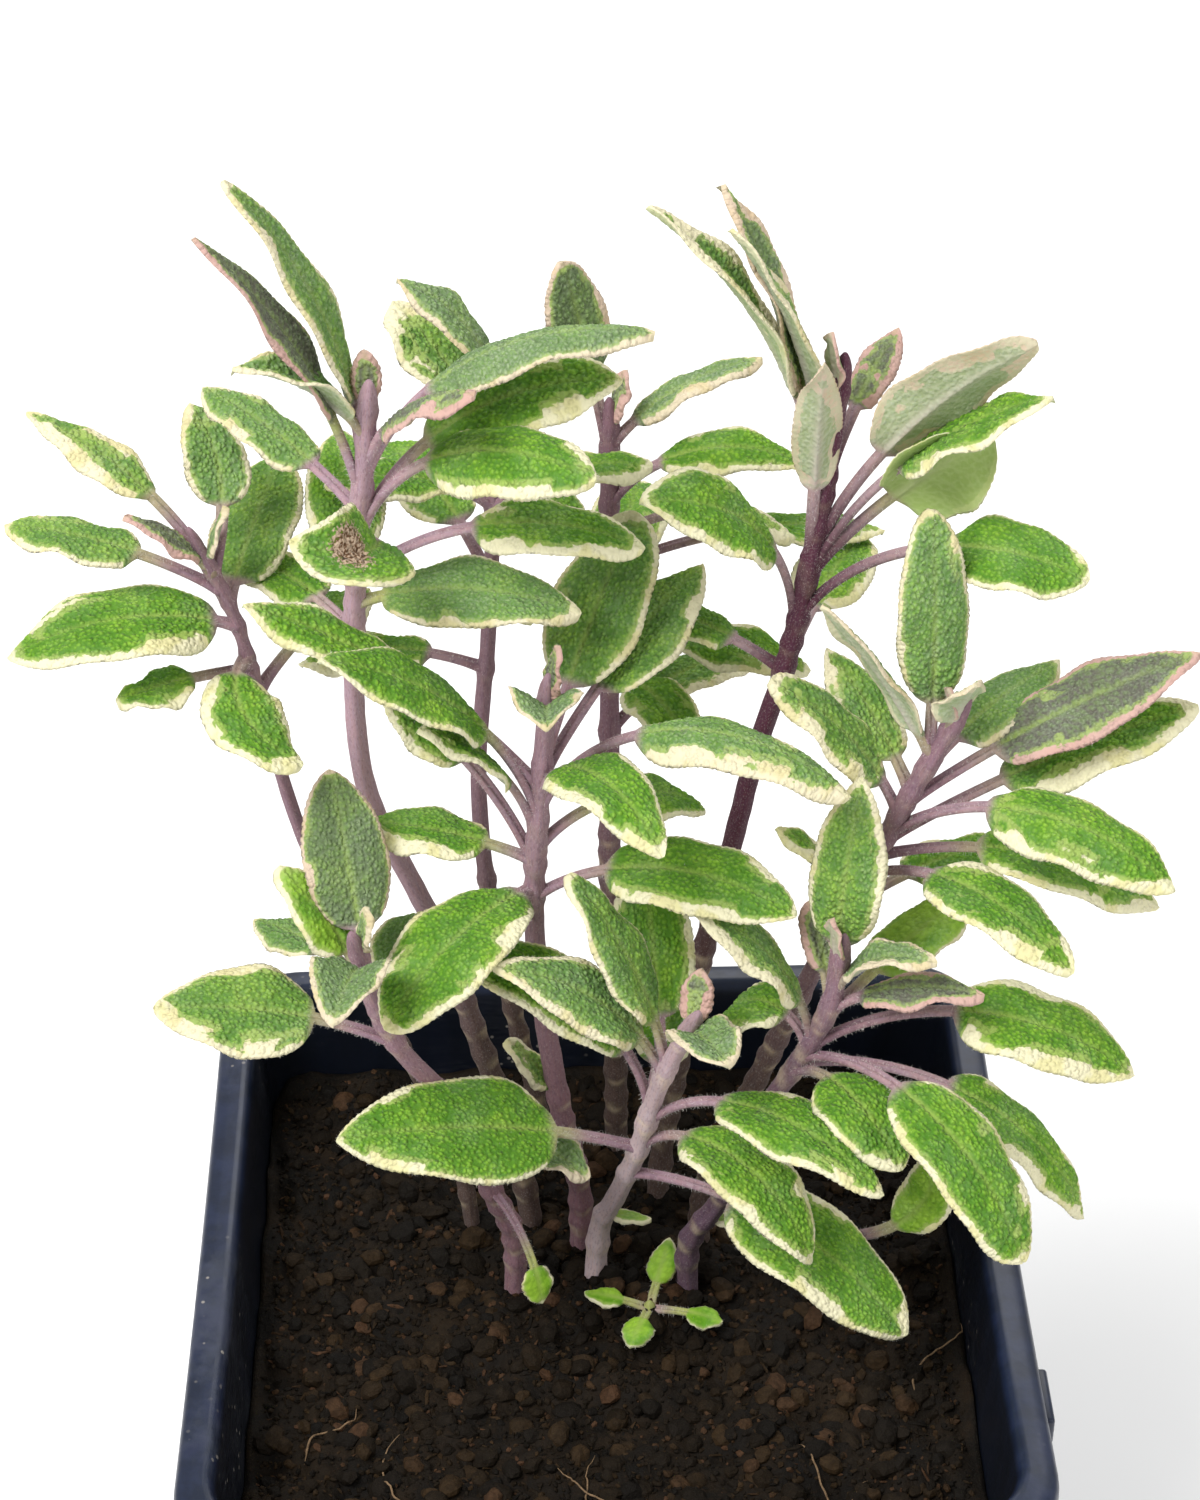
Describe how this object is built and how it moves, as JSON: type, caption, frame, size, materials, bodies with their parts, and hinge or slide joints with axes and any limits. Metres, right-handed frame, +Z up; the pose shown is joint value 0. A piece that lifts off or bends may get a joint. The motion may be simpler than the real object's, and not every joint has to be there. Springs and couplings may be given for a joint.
{
  "type": "potted sage",
  "caption": "Bushy variegated sage with felted, cream-edged leaves on thin woody stems, growing in compost in a square plastic nursery pot.",
  "frame": {"origin": "middle of the pot's flat underside", "axes": "+Z up, +X to the right seen from the front, the front looks along +Y"},
  "size_m": [0.1599, 0.1327, 0.274],
  "materials": {
    "pot_plastic": "satin moulded plastic, dark navy",
    "compost": "moist, crumbly, very dark brown",
    "sage_shoot": "felted and matte, green with cream margins, mauve stalks"
  },
  "bodies": {
    "root": {"pot": "pot_plastic", "compost": "compost", "stem_tall_left": "sage_shoot", "stem_tall_right": "sage_shoot", "stem_middle": "sage_shoot", "stem_right": "sage_shoot", "stem_right_front": "sage_shoot", "stem_front": "sage_shoot", "stem_left_front": "sage_shoot", "stem_far_left": "sage_shoot", "stem_back_left": "sage_shoot", "stem_back_middle": "sage_shoot", "sprout": "sage_shoot"}
  },
  "joints": []
}
